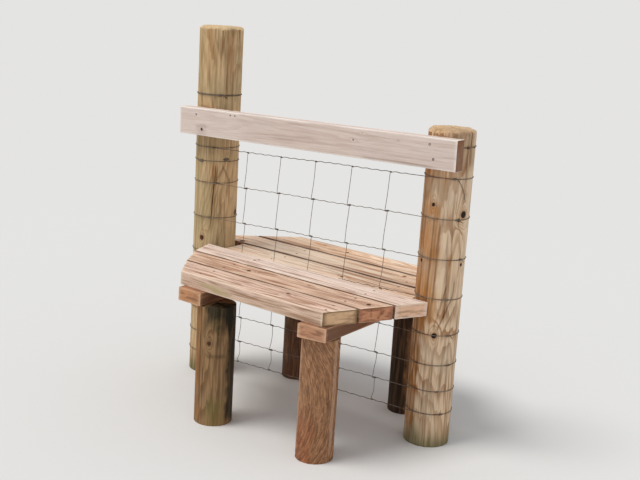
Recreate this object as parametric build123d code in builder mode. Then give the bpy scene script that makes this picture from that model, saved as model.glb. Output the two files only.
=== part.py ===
"""A wooden step stile over a wire netting fence."""

from build123d import *
import math
import os

# All sizes are in millimetres. X runs along the fence from the left post to the right post,
# Y points away to the far side, and Z is up. The origin is the centre of the left post's foot.

# Tall round posts, lined up by their near faces
post_spacing = 1000
left_post_diameter = 165
left_post_height = 1342
right_post_diameter = 158
right_post_height = 1082
post_top_radius = 12

# Hand rail, let into a shallow housing in each post
rail_height = 100
rail_thickness = 47
rail_overhang = 84
rail_housing = 6.5
rail_bottom_left = 942
rail_rise = 15

# Near step: thick boards, their left ends each cut at a slant of its own, in degrees
step_top_left = 530
step_fall = 19
board_width = 114
board_thickness = 48
board_gap = 6.5
board_edge = 2
near_step_left = 47
near_step_length = 961
near_left_angles = {"near_back_board": 17, "near_middle_board": 31, "near_front_board": 35}
near_right_angle = 26

# Far step: wider, thinner boards on the same bearers, the first between the posts
far_board_width = 130
far_board_thickness = 30
far_board_gap = 6
far_outer_length = 670
far_left_angle = 43.5
far_right_angle = 37.5
far_inner_clearance = 1

# Bearers, laid flat under both steps, the right one's near end cut a little askew
bearer_width = 100
bearer_height = 47
bearer_front_overhang = 23
bearer_back_setback = 20
left_bearer_x = 299
right_bearer_x = 807
right_bearer_end_angle = 10

# Round legs under the bearers
near_left_leg_diameter = 135
near_right_leg_diameter = 129
far_leg_diameter = 120
near_left_leg_x = 356
near_right_leg_x = 797
far_left_leg_x = 310
far_right_leg_x = 805
near_leg_inset = 55
far_leg_inset = 183

# Netting on the near faces of the posts
wire = 2.5
seat = 0.3
net_rail_gap = 46
net_rise = 30
net_spacings = (134, 134, 134, 125, 105, 92, 82)
net_first_upright = 214
net_upright_spacing = 152
net_uprights = 5
net_bearer_clearance = 4
left_wire_above_rail = 50
right_wire_below_top = 55

# Values that follow from the sizes above
left_post_radius = left_post_diameter / 2
right_post_radius = right_post_diameter / 2
post_face_y = -left_post_radius
right_post_y = post_face_y + right_post_radius
wire_room = 2 * seat + wire
near_back_y = post_face_y - wire_room
near_step_rows = len(near_left_angles)
near_front_y = near_back_y - near_step_rows * board_width - (near_step_rows - 1) * board_gap
far_middle_y = left_post_radius + wire_room
far_outer_y = far_middle_y + far_board_width + far_board_gap
far_back_y = far_outer_y + far_board_width
bearer_front_y = near_front_y - bearer_front_overhang
bearer_back_y = far_back_y - bearer_back_setback
near_leg_y = near_front_y + near_leg_inset
far_leg_y = far_back_y - far_leg_inset
left_top_wire = rail_bottom_left + rail_height + left_wire_above_rail
right_top_wire = right_post_height - right_wire_below_top

# The step's top plane falls to the right, and the rail climbs to the right
step_top = Plane(
    origin=(0, 0, step_top_left),
    x_dir=(post_spacing, 0, -step_fall),
    z_dir=(step_fall, 0, post_spacing),
)
bearer_top = step_top.offset(-board_thickness).shift_origin(Axis.Z)
leg_top = bearer_top.offset(-bearer_height).shift_origin(Axis.Z)
rail_back = Plane(
    origin=(0, post_face_y + rail_housing, rail_bottom_left),
    x_dir=(post_spacing, 0, rail_rise),
    z_dir=(0, -1, 0),
)
rail_length = post_spacing + 2 * rail_overhang

os.makedirs("parts", exist_ok=True)


def save(part, name):
    part.label = name
    export_step(part, f"parts/{name}.step")


# Tall posts, each with a worn top edge and a housing for the rail
posts = {
    "left_post": ((0, 0), left_post_radius, left_post_height),
    "right_post": ((post_spacing, right_post_y), right_post_radius, right_post_height),
}
for name, (centre, radius, height) in posts.items():
    with BuildPart() as post:
        with BuildSketch():
            with Locations(centre):
                Circle(radius)
        extrude(amount=height)
        fillet(post.edges().group_by(Axis.Z)[-1], radius=post_top_radius)
        with BuildSketch(rail_back):
            with Locations((-rail_overhang, 0)):
                Rectangle(rail_length, rail_height, align=Align.MIN)
        extrude(amount=rail_thickness, mode=Mode.SUBTRACT)
    save(post.part, name)

# Hand rail
with BuildPart() as rail:
    with BuildSketch(rail_back):
        with Locations((-rail_overhang, 0)):
            Rectangle(rail_length, rail_height, align=Align.MIN)
    extrude(amount=rail_thickness)
    chamfer(rail.edges().sort_by(SortBy.LENGTH)[-4:], length=board_edge)
rail.part.label = "rail"
export_step(rail.part, "parts/rail.step")

# Boards of the near step, from the fence outwards
right_slant = math.tan(math.radians(near_right_angle))
near_step_right = near_step_left + near_step_length
back = near_back_y
left_back = near_step_left
for name, angle in near_left_angles.items():
    left_slant = math.tan(math.radians(angle))
    front = back - board_width
    left_front = left_back + board_width * left_slant
    right_back = near_step_right - (near_back_y - back) * right_slant
    right_front = right_back - board_width * right_slant
    with BuildPart() as board:
        with BuildSketch(step_top):
            with BuildLine():
                Polyline(
                    (left_back, back),
                    (right_back, back),
                    (right_front, front),
                    (left_front, front),
                    close=True,
                )
            make_face()
        extrude(amount=-board_thickness)
        chamfer(board.edges().sort_by(SortBy.LENGTH)[-4:], length=board_edge)
    save(board.part, name)
    back = front - board_gap
    left_back = left_front + board_gap * left_slant

# First board of the far step, cut square to fit between the posts
inner_left = left_post_radius + wire_room + far_inner_clearance
inner_right = post_spacing - right_post_radius - wire_room - far_inner_clearance
with BuildPart() as far_inner_board:
    with BuildSketch(bearer_top):
        with Locations((inner_left, far_middle_y - far_board_gap)):
            Rectangle(inner_right - inner_left, far_board_width, align=(Align.MIN, Align.MAX))
    extrude(amount=far_board_thickness)
    chamfer(far_inner_board.edges().sort_by(SortBy.LENGTH)[-4:], length=board_edge)
far_inner_board.part.label = "far_inner_board"
export_step(far_inner_board.part, "parts/far_inner_board.step")

# Far boards behind the posts, with their ends cut at wider slants
far_left_slant = math.tan(math.radians(far_left_angle))
far_right_slant = math.tan(math.radians(far_right_angle))
far_outer_left = (post_spacing - far_outer_length) / 2
far_outer_right = far_outer_left + far_outer_length
for name, front in (("far_middle_board", far_middle_y), ("far_outer_board", far_outer_y)):
    back = front + far_board_width
    front_run = far_back_y - front
    back_run = far_back_y - back
    with BuildPart() as board:
        with BuildSketch(bearer_top):
            with BuildLine():
                Polyline(
                    (far_outer_left - front_run * far_left_slant, front),
                    (far_outer_right + front_run * far_right_slant, front),
                    (far_outer_right + back_run * far_right_slant, back),
                    (far_outer_left - back_run * far_left_slant, back),
                    close=True,
                )
            make_face()
        extrude(amount=far_board_thickness)
        chamfer(board.edges().sort_by(SortBy.LENGTH)[-4:], length=board_edge)
    save(board.part, name)

# Bearers, square to the fence
bearers = {
    "left_bearer": (left_bearer_x, 0),
    "right_bearer": (right_bearer_x, right_bearer_end_angle),
}
for name, (x, end_angle) in bearers.items():
    left = x - bearer_width / 2
    right = x + bearer_width / 2
    end_cut = bearer_width * math.tan(math.radians(end_angle))
    with BuildPart() as bearer:
        with BuildSketch(bearer_top):
            with BuildLine():
                Polyline(
                    (left, bearer_front_y),
                    (right, bearer_front_y + end_cut),
                    (right, bearer_back_y),
                    (left, bearer_back_y),
                    close=True,
                )
            make_face()
        extrude(amount=-bearer_height)
        chamfer(bearer.edges().sort_by(SortBy.LENGTH)[-4:], length=board_edge)
    save(bearer.part, name)

# Legs, sawn off to the slope of the bearers
legs = {
    "near_left_leg": ((near_left_leg_x, near_leg_y), near_left_leg_diameter),
    "near_right_leg": ((near_right_leg_x, near_leg_y), near_right_leg_diameter),
    "far_left_leg": ((far_left_leg_x, far_leg_y), far_leg_diameter),
    "far_right_leg": ((far_right_leg_x, far_leg_y), far_leg_diameter),
}
for name, (centre, diameter) in legs.items():
    with BuildPart() as leg:
        with BuildSketch():
            with Locations(centre):
                Circle(diameter / 2)
        extrude(amount=step_top_left)
        split(bisect_by=leg_top, keep=Keep.BOTTOM)
    save(leg.part, name)

# Netting: line wires that climb a little to the right, and uprights fused where they cross
net_top_left = rail_bottom_left - net_rail_gap
net_heights = [net_top_left - sum(net_spacings[:count]) for count in range(len(net_spacings) + 1)]
net_slope = net_rise / post_spacing
net_angle = math.degrees(math.atan(net_slope))
step_angle = -math.degrees(math.atan(step_fall / post_spacing))
net_back = Plane(origin=(0, post_face_y - seat, 0), x_dir=(1, 0, 0), z_dir=(0, -1, 0))


def wrap_reach(radius):
    """How far a wrap of this post stands in the way of the net's plane."""
    inside = radius + seat
    return math.sqrt((inside + wire) ** 2 - inside**2) + seat


net_left = wrap_reach(left_post_radius)
net_right = post_spacing - wrap_reach(right_post_radius)
net_middle = (net_left + net_right) / 2
bearer_middle_z = step_top_left - board_thickness - bearer_height / 2
with BuildPart() as net:
    with BuildSketch(net_back):
        for height in net_heights:
            with Locations((net_middle, height + net_slope * net_middle)):
                Rectangle(net_right - net_left, wire, rotation=net_angle)
        for count in range(net_uprights):
            x = net_first_upright + count * net_upright_spacing
            with Locations((x, net_heights[-1] + net_slope * x - wire / 2)):
                Rectangle(wire, sum(net_spacings) + wire, align=(Align.CENTER, Align.MIN))
        for x in (left_bearer_x, right_bearer_x):
            with Locations((x, bearer_middle_z - step_fall / post_spacing * x)):
                Rectangle(
                    bearer_width + 2 * net_bearer_clearance,
                    bearer_height + 2 * net_bearer_clearance,
                    rotation=step_angle,
                    mode=Mode.SUBTRACT,
                )
    extrude(amount=wire)
net.part.label = "net"
export_step(net.part, "parts/net.step")

# Ties of the net's line wires round each post
wraps = {
    "left_net_wraps": ((0, 0), left_post_radius, 0),
    "right_net_wraps": ((post_spacing, right_post_y), right_post_radius, net_rise),
}
for name, (centre, radius, lift) in wraps.items():
    with BuildPart() as ties:
        for height in net_heights:
            with BuildSketch(Plane.XY.offset(height + lift - wire / 2)):
                with Locations(centre):
                    Circle(radius + seat + wire)
                    Circle(radius + seat, mode=Mode.SUBTRACT)
            extrude(amount=wire)
    save(ties.part, name)

# Tie of the top strand round the left post, above the rail
with BuildPart() as left_top_wrap:
    with BuildSketch(Plane.XY.offset(left_top_wire - wire / 2)):
        Circle(left_post_radius + seat + wire)
        Circle(left_post_radius + seat, mode=Mode.SUBTRACT)
    extrude(amount=wire)
left_top_wrap.part.label = "left_top_wrap"
export_step(left_top_wrap.part, "parts/left_top_wrap.step")

# Tie of the top strand round the back of the right post, from one side of the rail to the other
rail_side_y = post_face_y + rail_housing + seat
with BuildPart() as right_top_wrap:
    with BuildSketch(Plane.XY.offset(right_top_wire - wire / 2)):
        with Locations((post_spacing, right_post_y)):
            Circle(right_post_radius + seat + wire)
            Circle(right_post_radius + seat, mode=Mode.SUBTRACT)
        with Locations((post_spacing, rail_side_y)):
            Rectangle(
                right_post_diameter,
                right_post_diameter,
                align=(Align.CENTER, Align.MAX),
                mode=Mode.SUBTRACT,
            )
    extrude(amount=wire)
right_top_wrap.part.label = "right_top_wrap"
export_step(right_top_wrap.part, "parts/right_top_wrap.step")
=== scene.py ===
"""The looks of a wooden step stile over a netting fence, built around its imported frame.

X runs along the fence towards the right post, Y across it to the far side and Z up, in metres.
Every timber is one closed mesh of rows of points. Its growth rings and knots are worked out as a
solid, so that the grain on its sides and on its ends belongs together.
"""

import math
from dataclasses import dataclass, replace

import bpy
import numpy as np
from mathutils import Euler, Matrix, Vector


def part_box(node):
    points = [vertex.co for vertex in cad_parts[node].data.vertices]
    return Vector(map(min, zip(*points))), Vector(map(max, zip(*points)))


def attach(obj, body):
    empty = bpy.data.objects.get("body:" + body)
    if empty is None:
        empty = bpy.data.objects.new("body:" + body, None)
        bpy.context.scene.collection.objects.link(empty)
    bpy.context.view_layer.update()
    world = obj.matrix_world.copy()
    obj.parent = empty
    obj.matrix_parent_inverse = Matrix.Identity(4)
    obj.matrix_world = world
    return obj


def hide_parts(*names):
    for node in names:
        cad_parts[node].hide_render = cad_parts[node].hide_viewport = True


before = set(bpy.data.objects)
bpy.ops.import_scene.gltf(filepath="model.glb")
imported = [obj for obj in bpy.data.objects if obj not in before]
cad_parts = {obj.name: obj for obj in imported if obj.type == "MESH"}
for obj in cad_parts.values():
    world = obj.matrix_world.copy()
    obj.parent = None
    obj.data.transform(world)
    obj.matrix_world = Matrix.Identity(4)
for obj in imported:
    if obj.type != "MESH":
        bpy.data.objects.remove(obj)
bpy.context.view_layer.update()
scene = bpy.context.scene

# The photograph's camera, turned towards the stile and zoomed in
CAMERA_PLACE = (2.539, -2.935, 1.460)
CAMERA_HEADING = -34.77
CAMERA_PITCH = 13.32
CAMERA_ROLL = 3.47
CAMERA_LENS = 57.2

# Background and floor, as linear light
BACKGROUND = (0.78, 0.775, 0.765, 1)
FLOOR = (0.74, 0.735, 0.725, 1)

# Slopes along the fence
STEP_SLOPE = -0.019
RAIL_SLOPE = 0.015
NET_SLOPE = 0.030

# Radii of the wires, and the gap between a wire and the post that it lies on
LINE_WIRE = 0.00125
THIN_WIRE = 0.9 * LINE_WIRE
STAY_WIRE = 0.0010
WIRE_SEAT = 0.0003

# The net's line wires by height at the left post, and its uprights by X
NET_HEIGHTS = (0.896, 0.762, 0.628, 0.494, 0.369, 0.264, 0.172, 0.090)
LAST_ROW = len(NET_HEIGHTS) - 1
STAYS = (0.214, 0.366, 0.518, 0.670, 0.822)
SNIPPED_STAY = 4
SNIPPED_ROW = 3
POST_SPACING = 1.0
NET_BOW = 0.003

# Where each line wire is tied on a post, in degrees, and its tail as turn, drop and lift
LEFT_KNOTS = (-58, -49, -63, -55, -45, -60, -50, -58)
LEFT_TAILS = dict.fromkeys((1, 3, 5, 7), (10, 0.008, 0.003))
RIGHT_KNOTS = (-48, -34, -12, -40, -30, -20, -44, -30)
RIGHT_TAILS = {
    0: (27, 0.070, 0.0035), 1: (9, 0.008, 0.003), 2: (9, 0.012, 0.001), 4: (10, 0.012, 0.003),
}

# Screws in the rail by X and Z, and in each board by shares of its width
SCREW_RADIUS = 0.0042
RAIL_SCREWS = ((-0.004, 1.018), (0.024, 0.9665), (0.985, 1.0343), (1.002, 0.9885))
BOARD_SCREWS = (0.27, 0.74)

# Rows of points on a log's foot, worn edge and top, and on a plank's end and edge
FOOT_ROWS = 12
WORN_ROWS = 6
TOP_ROWS = 26
END_ROWS = 9
CORNER_POINTS = 5
END_EDGE = 0.0015
END_LUMPS = 0.0012

# How far apart in the noise two timbers lie for each step of seed
SEED_STEP = 0.13
# How far along the timber a branch leaves the pith before it comes out
BRANCH_LEAN = 0.02
# The height at which a twisted log's grain runs straight up
TWIST_HEIGHT = 0.2
# How much closer together points are near a check, and how far that reaches
CROWD = 7.0
CROWD_WIDTH = 0.05

# Colours that all timbers share
BARK = (38, 22, 14)
CRACK = (44, 28, 17)
ALGAE = (78, 82, 40)


# Noise and directions

# Large odd numbers that scatter the values of the noise
HASH_AXES = np.array([73856093, 19349663, 83492791])
HASH_SEED = 2654435761
HASH_ROUNDS = ((13, 1274126177), (15, 668265263))


def lattice(spot, seed):
    """A fixed value from -1 to 1 for each whole-number point."""
    mixed = spot @ HASH_AXES + seed * HASH_SEED
    for shift, factor in HASH_ROUNDS:
        mixed = ((mixed ^ (mixed >> shift)) * factor) & 0xFFFFFFFF
    return ((mixed >> 16) & 0xFFFF) / 32767.5 - 1


def noise(points, size, seed):
    """Smooth noise from -1 to 1, with features about size across."""
    spot = np.asarray(points, float) / np.asarray(size, float)
    base = np.floor(spot).astype(np.int64)
    part = spot - base
    part = part * part * (3 - 2 * part)
    total = np.zeros(spot.shape[:-1])
    for corner in np.ndindex(2, 2, 2):
        weight = np.prod(np.where(np.array(corner) == 1, part, 1 - part), axis=-1)
        total += weight * lattice(base + np.array(corner), seed)
    return total


def rough(points, size, seed, octaves=3):
    """Noise with finer noise on top of it."""
    total = np.zeros(np.shape(points)[:-1])
    for octave in range(octaves):
        total += noise(points, np.asarray(size, float) / 2**octave, seed + octave) / 2**octave
    return total


def along_only(values, size, seed):
    """Noise that depends on one number alone."""
    spots = np.zeros((*np.shape(values), 3))
    spots[..., 0] = values
    return noise(spots, (size, 1, 1), seed)


def smooth(values, low, high):
    """0 below low, 1 above high, and an even curve between them."""
    share = np.clip((values - low) / (high - low), 0, 1)
    return share * share * (3 - 2 * share)


def bell(values, width):
    """1 where a value is 0, falling away on both sides of it."""
    return np.exp(-((values / width) ** 2))


def tilted(slope):
    """Directions along a line that climbs along X, and square to it."""
    length = math.hypot(1, slope)
    return np.array([1, 0, slope]) / length, np.array([-slope, 0, 1]) / length


def unit(vectors):
    """Vectors made one long."""
    return vectors / np.linalg.norm(vectors, axis=-1, keepdims=True)


def corners(node):
    """The points of a CAD node."""
    return np.array([v.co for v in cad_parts[node].data.vertices], float)


def box_middle(node):
    """The middle of a CAD node's box."""
    low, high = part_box(node)
    return np.add(low[:], high[:]) / 2


STEP_ALONG, STEP_UP = tilted(STEP_SLOPE)
RAIL_ALONG, RAIL_UP = tilted(RAIL_SLOPE)
ACROSS = np.array([0.0, 1.0, 0.0])
NET_PLANE = box_middle("net")[1]


# Meshes


def tube_faces(rows, columns):
    """Faces of a tube of rows of points, closed by a point at each end."""
    row = np.arange(rows - 1)[:, None] * columns
    column = np.arange(columns)[None, :]
    after = (column + 1) % columns
    sides = np.stack([row + column, row + after, row + columns + after, row + columns + column], -1)
    faces = sides.reshape(-1, 4).tolist()
    first = rows * columns
    top = first - columns
    for here in range(columns):
        there = (here + 1) % columns
        faces.append([first, there, here])
        faces.append([first + 1, top + here, top + there])
    return faces


def closed(rows):
    """Rows of points as one list, and the middles of the end rows."""
    flat = rows.reshape(-1, rows.shape[-1])
    return np.concatenate([flat, rows[:1].mean(1), rows[-1:].mean(1)])


def ended(grid, value=0):
    """A grid's values as one list, and a value for the two end points."""
    return np.append(grid.ravel(), [value, value])


def joined(parts):
    """Several meshes as one."""
    points, faces, start = [], [], 0
    for some, their_faces in parts:
        points.append(some)
        faces += [[index + start for index in face] for face in their_faces]
        start += len(some)
    return np.concatenate(points), faces


def add_object(name, data):
    """An object of the scene."""
    made = bpy.data.objects.new(name, data)
    scene.collection.objects.link(made)
    return made


def add_piece(name, shape, material, nodes=(), fields=None):
    """A mesh that rides on the part, stands for CAD nodes and carries values for its material."""
    points, faces = shape
    mesh = bpy.data.meshes.new(name)
    mesh.from_pydata(np.asarray(points).tolist(), [], faces)
    mesh.shade_smooth()
    for key, values in (fields or {}).items():
        values = np.asarray(values, np.float32)
        kind, part = ("FLOAT", "value") if values.ndim == 1 else ("FLOAT_VECTOR", "vector")
        mesh.attributes.new(key, kind, "POINT").data.foreach_set(part, values.ravel())
    mesh.materials.append(material)
    piece = add_object(name, mesh)
    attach(piece, "root")
    if nodes:
        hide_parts(*nodes)


# The timber's grain


def grain_fields(timber, local, knots):
    """Ring distance, nearness to a knot and the grain's own coordinates, for a timber's points.

    The points are given as along, across and up. A knot is a branch that runs from the pith
    through a point on the surface, given as (along, across, up, radius). The rings swell round
    it, and the fibres part round it.
    """
    seed, waver = timber.seed, timber.waver
    flow = local + np.array([SEED_STEP, 0, 0]) * seed
    for axis in (1, 2):
        flow[:, axis] += waver * noise(local, (0.22, 0.06, 0.06), seed + 15 + axis)
    along, across, up = local.T
    across = across - timber.pith[0] - timber.drift * along_only(along, 0.55, seed + 11)
    up = up - timber.pith[1] - timber.drift * along_only(along, 0.45, seed + 12)
    ring = np.hypot(across, up) + timber.taper * along
    ring += waver * noise(local, (0.30, 0.035, 0.035), seed + 13)
    ring += 0.35 * waver * noise(local, (0.12, 0.012, 0.012), seed + 14)
    nearest = np.full(len(along), 9.0)
    for spot, (*place, radius) in enumerate(knots):
        start = np.array([place[0] - BRANCH_LEAN, *timber.pith])
        reach = np.array(place) - start
        offset = local - start
        out = np.clip(offset @ unit(reach), 0, None)
        away = offset - out[:, None] * unit(reach)
        distance = np.linalg.norm(away, axis=1)
        distance *= 1 + 0.12 * noise(local, (0.008, 0.008, 0.008), seed + 20 + spot)
        grown = radius * np.clip(out / np.linalg.norm(reach), 0.25, 1.3)
        nearest = np.minimum(nearest, distance / grown)
        aside = np.linalg.norm(away[:, 1:], axis=1)
        ring -= 1.5 * radius * bell(np.hypot(away[:, 0] / 2.6, aside) / grown, 1.7)
        part = 1.1 * radius * np.exp(-aside / (2.4 * radius)) * bell(away[:, 0], 5 * radius)
        flow[:, 1:] -= away[:, 1:] * (part / np.maximum(aside, 0.5 * radius))[:, None]
    return {"ring": ring, "knot": nearest, "grain": flow}


# Round posts and legs


@dataclass
class Log:
    """A round timber that stands on the ground, with its look as a solid.

    A check is given as angle, lean, low, high, width and depth, and a knot as angle, height and
    size. Tints, stains and washes are areas as zones takes them; some tints and stains are painted
    shade, and one wash is a painted highlight. Angles are in degrees.
    """

    node: str
    slot: str
    seed: int
    checks: tuple
    knots: tuple
    around: int = 240
    rows: int = 240
    slope: float = 0.0
    worn: float = 0.010
    uneven: float = 0.0022
    furrow: float = 0.0004
    furrow_size: tuple = (0.004, 0.004, 0.06)
    pith: tuple = (0.004, -0.003)
    drift: float = 0.016
    taper: float = 0.012
    waver: float = 0.004
    tints: tuple = ()
    stains: tuple = ()
    washes: tuple = ()
    housing: tuple = None
    twist: float = 0.0

    def place(self):
        """The log's centre, its radius and its greatest height, from its CAD node."""
        low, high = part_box(self.node)
        return box_middle(self.node)[:2], (high.x - low.x) / 2, high.z

    def surface(self, angle, height):
        """The log's radius at an angle and a height, a little under the CAD one."""
        radius = self.place()[1]
        spot = np.stack(np.broadcast_arrays(np.cos(angle), np.sin(angle), height), -1)
        swell = noise(spot, (1.2, 1.2, 0.30), self.seed)
        return radius - self.uneven * (1 + swell) / 2


def angle_gap(angle, degrees):
    """How far an angle lies from a direction in degrees, from -pi to pi."""
    return (angle - math.radians(degrees) + math.pi) % (2 * math.pi) - math.pi


def zones(marks, angle, height, seed):
    """The sum of soft-edged areas, given as middle, half width, low, high, amount and lean."""
    spot = np.stack([np.cos(angle), np.sin(angle), height], -1)
    ragged = rough(spot, (0.5, 0.5, 0.05), seed)
    total = np.zeros_like(height)
    for degrees, half, low, high, amount, *lean in marks:
        middle = np.radians(sum(lean)) * (height - low) / (high - low)
        side = np.abs(angle_gap(angle - middle, degrees)) / math.radians(half) + 0.30 * ragged
        soft = min(0.03, (high - low) / 2)
        level = np.minimum(height - low, high - height) / soft + ragged
        total += amount * smooth(1.15 - side, 0, 0.5) * smooth(level, -1, 1)
    return total


def crowded_angles(count, spots):
    """Angles round a log, closer together near some of them."""
    fine = np.linspace(0, 2 * math.pi, 7201)
    near = sum((bell(angle_gap(fine, spot), CROWD_WIDTH) for spot in spots), 0 * fine)
    density = 1 + CROWD * near
    total = np.concatenate([[0], np.cumsum((density[1:] + density[:-1]) / 2)])
    return np.interp(np.arange(count) / count, total / total[-1], fine)


def log_rows(log):
    """How far in and how high a log's rows of points lie, and how much each is end grain."""
    _, radius, top = log.place()
    turn = np.linspace(0, math.pi / 2, WORN_ROWS + 1)[1:]
    inset = np.concatenate([
        radius * (1 - np.linspace(0.06, 0.995, FOOT_ROWS)),
        np.zeros(log.rows),
        log.worn * (1 - np.cos(turn)),
        log.worn + (radius - log.worn) * (1 - np.linspace(0.97, 0.02, TOP_ROWS)),
    ])
    height = np.concatenate([
        np.zeros(FOOT_ROWS),
        np.linspace(0, top - log.worn, log.rows),
        top - log.worn * (1 - np.sin(turn)),
        np.full(TOP_ROWS, top),
    ])
    is_end = np.concatenate([
        np.ones(FOOT_ROWS), np.zeros(log.rows), smooth(turn, 0.3, 1.2), np.ones(TOP_ROWS)
    ])
    return inset, height, is_end


def open_checks(log, inset, height):
    """The angles of a log's points, and how deep and how dark its checks are at them."""
    _, radius, top = log.place()
    angles = crowded_angles(log.around, [check[0] for check in log.checks])
    shape = (len(height), log.around)
    angle = np.broadcast_to(angles, shape).copy()
    sink = np.zeros(shape)
    crack = np.zeros(shape)
    for count, (degrees, lean, low, high, width, depth) in enumerate(log.checks):
        gap = angle_gap(angles, degrees)
        share = np.clip((height - low) / (high - low), 0, 1)
        wander = 0.035 * along_only(height, 0.16, log.seed + 40 + count) + math.radians(lean) * share
        angle += wander[:, None] * bell(gap, 0.22)
        narrowing = np.sqrt(np.sin(math.pi * share / (2 if high >= top else 1)))
        narrowing *= 1 + 0.3 * along_only(height, 0.03, log.seed + 60 + count)
        half = np.maximum(width / 2 * narrowing, 1e-6)[:, None]
        arc = np.abs(gap) * np.maximum(radius - inset, 0.2 * radius)[:, None]
        profile = np.clip(1 - arc / half, 0, 1) * (narrowing[:, None] > 0.05)
        profile *= smooth(radius - inset, 0.15 * radius, 0.8 * radius)[:, None]
        sink = np.maximum(sink, depth * profile**0.8)
        crack = np.maximum(crack, smooth(profile, 0.0, 0.5))
    return angle, sink, crack


def make_log(log, material):
    """A round timber with checks, knots and a worn top edge, in place of its CAD node."""
    centre, radius, top = log.place()
    inset, height, is_end = log_rows(log)
    angle, sink, crack = open_checks(log, inset, height)
    insets, heights, ends = (
        np.broadcast_to(values[:, None], angle.shape) for values in (inset, height, is_end)
    )
    twist = log.twist * (heights - TWIST_HEIGHT) ** 2
    spots = np.stack([np.cos(angle - twist) * radius, np.sin(angle - twist) * radius, heights], -1)
    furrows = log.furrow * (np.minimum(rough(spots, log.furrow_size, log.seed + 5), 0) * 1.6 - 0.2)
    outward = log.surface(angle, heights) - insets + (furrows - sink) * (1 - ends)
    wear = log.worn * 0.8 * bell(insets, 0.012) * smooth(heights, top - 0.02, top)
    wear = wear * np.clip(0.7 + rough(spots, (0.03, 0.03, 0.03), log.seed + 8, 2), 0.05, 2)
    lumps = END_LUMPS * np.abs(rough(spots, (0.012, 0.012, 0.012), log.seed + 9, 2))
    raised = heights - wear - (sink * 1.2 + lumps) * ends * (heights > top / 2)
    around = np.stack([np.cos(angle), np.sin(angle)], -1)
    across = centre + around * np.maximum(outward, 0)[..., None]
    if log.slope:
        raised = raised * (top + log.slope * (across[..., 0] - centre[0] + radius)) / top
    if log.housing:
        cut_low, cut_high, cut_face = log.housing
        edge = raised - RAIL_SLOPE * across[..., 0]
        inside = (edge > cut_low) & (edge < cut_high)
        across[..., 1] = np.where(inside, np.maximum(across[..., 1], cut_face), across[..., 1])
    points = closed(np.concatenate([across, raised[..., None]], -1))
    local = np.stack([points[:, 2], points[:, 0] - centre[0], points[:, 1] - centre[1]], -1)
    knots = [
        (z, radius * math.cos(math.radians(degrees)), radius * math.sin(math.radians(degrees)), size)
        for degrees, z, size in log.knots
    ]
    fields = grain_fields(log, local, knots)
    if log.twist:
        turned = ended(twist)
        across, up = fields["grain"][:, 1:].T.copy()
        fields["grain"][:, 1] = across * np.cos(turned) + up * np.sin(turned)
        fields["grain"][:, 2] = up * np.cos(turned) - across * np.sin(turned)
    fields |= {"crack": ended(crack), "end": ended(ends, 1), "rim": ended(ends * bell(insets, 0.006))}
    groups = (("tint", log.tints), ("stain", log.stains), ("wash", log.washes))
    for count, (key, marks) in enumerate(groups):
        fields[key] = ended(zones(marks, angle, heights, log.seed + 70 + 10 * count))
    faces = tube_faces(*angle.shape)
    add_piece(log.node + "_timber", (points, faces), material, [log.node], fields)


# Sawn timbers


@dataclass
class Plank:
    """A sawn timber, with its length along one direction, and its look as a solid.

    A knot is given as along, across, up and size, and a split as whether it is at the high end,
    its share of the width, reach, width and depth. Marks and washes are areas given as along,
    across, up, half length, half width and amount; the bearers' mark is painted shade. Sides
    darkened with dirt and painted shade where they face a gap are given as True for the high
    side and False for the low one.
    """

    node: str
    slot: str
    seed: int
    along: np.ndarray
    across: np.ndarray
    up: np.ndarray
    pith: tuple
    knots: tuple
    marks: tuple
    rows: int = 150
    around: int = 96
    edge: float = 0.002
    fur: float = 0.00022
    drift: float = 0.006
    waver: float = 0.0035
    splits: tuple = ()
    grimy: tuple = ()
    grime_reach: float = 0.0034
    washes: tuple = ()
    taper = 0.01

    def extents(self):
        """Low and high ends across and up, and the ends along at the low and high side."""
        points = corners(self.node)
        ahead, side, rise = (points @ axis for axis in (self.along, self.across, self.up))
        near = side < side.min() + 1e-4
        far = side > side.max() - 1e-4
        ends = [(ahead[pick].min(), ahead[pick].max()) for pick in (near, far)]
        return (side.min(), side.max()), (rise.min(), rise.max()), ends


def plank_outline(half, radius, count):
    """Points round a rectangle with round corners, as across and up from its middle."""
    turn = np.linspace(0, math.pi / 2, CORNER_POINTS)
    straight = count - 4 * CORNER_POINTS
    wide = round(straight * half[0] / sum(half) / 2)
    arcs = []
    for right, high, start in ((1, -1, -90), (1, 1, 0), (-1, 1, 90), (-1, -1, 180)):
        angle = math.radians(start) + turn
        round_part = np.stack([np.cos(angle), np.sin(angle)], -1)
        arcs.append((half - radius) * [right, high] + radius * round_part)
    points = []
    for spot, arc in enumerate(arcs):
        steps = wide if spot % 2 else straight // 2 - wide
        share = np.arange(1, steps + 1)[:, None] / (steps + 1)
        points += [arc, arc[-1] + (arcs[(spot + 1) % 4][0] - arc[-1]) * share]
    return np.concatenate(points)


def grime(plank, local, left, right):
    """Dirt and painted shade on the sides that face a gap, reaching a little way over the edge."""
    ragged = 0.0012 * rough(local, (0.05, 0.01, 0.01), plank.seed + 30, 2)
    total = np.zeros(local.shape[:-1])
    for high_side in plank.grimy:
        depth = right - local[..., 1] if high_side else local[..., 1] - left
        total = np.maximum(total, smooth(plank.grime_reach + ragged - depth, 0, 0.003))
    return total


def blemishes_and_painted_shade(plank, grain, marks):
    """The sum of areas, given as along, across, up, half length, half width and amount."""
    ragged = rough(grain, (0.09, 0.012, 0.012), plank.seed + 35)
    total = np.zeros(len(grain))
    for ahead, side, rise, half_length, half_width, amount in marks:
        offset = (grain - [ahead, side, rise]) / [half_length, half_width, half_width]
        total += amount * smooth(1.1 - np.linalg.norm(offset, axis=1) + 0.5 * ragged, 0, 0.7)
    return total


def mirrored(end, bend, body):
    """Values for a plank's rows: one end, its edge, the body, and then edge and end again."""
    return np.concatenate([end, bend, body, bend[::-1], end[::-1]])


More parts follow.
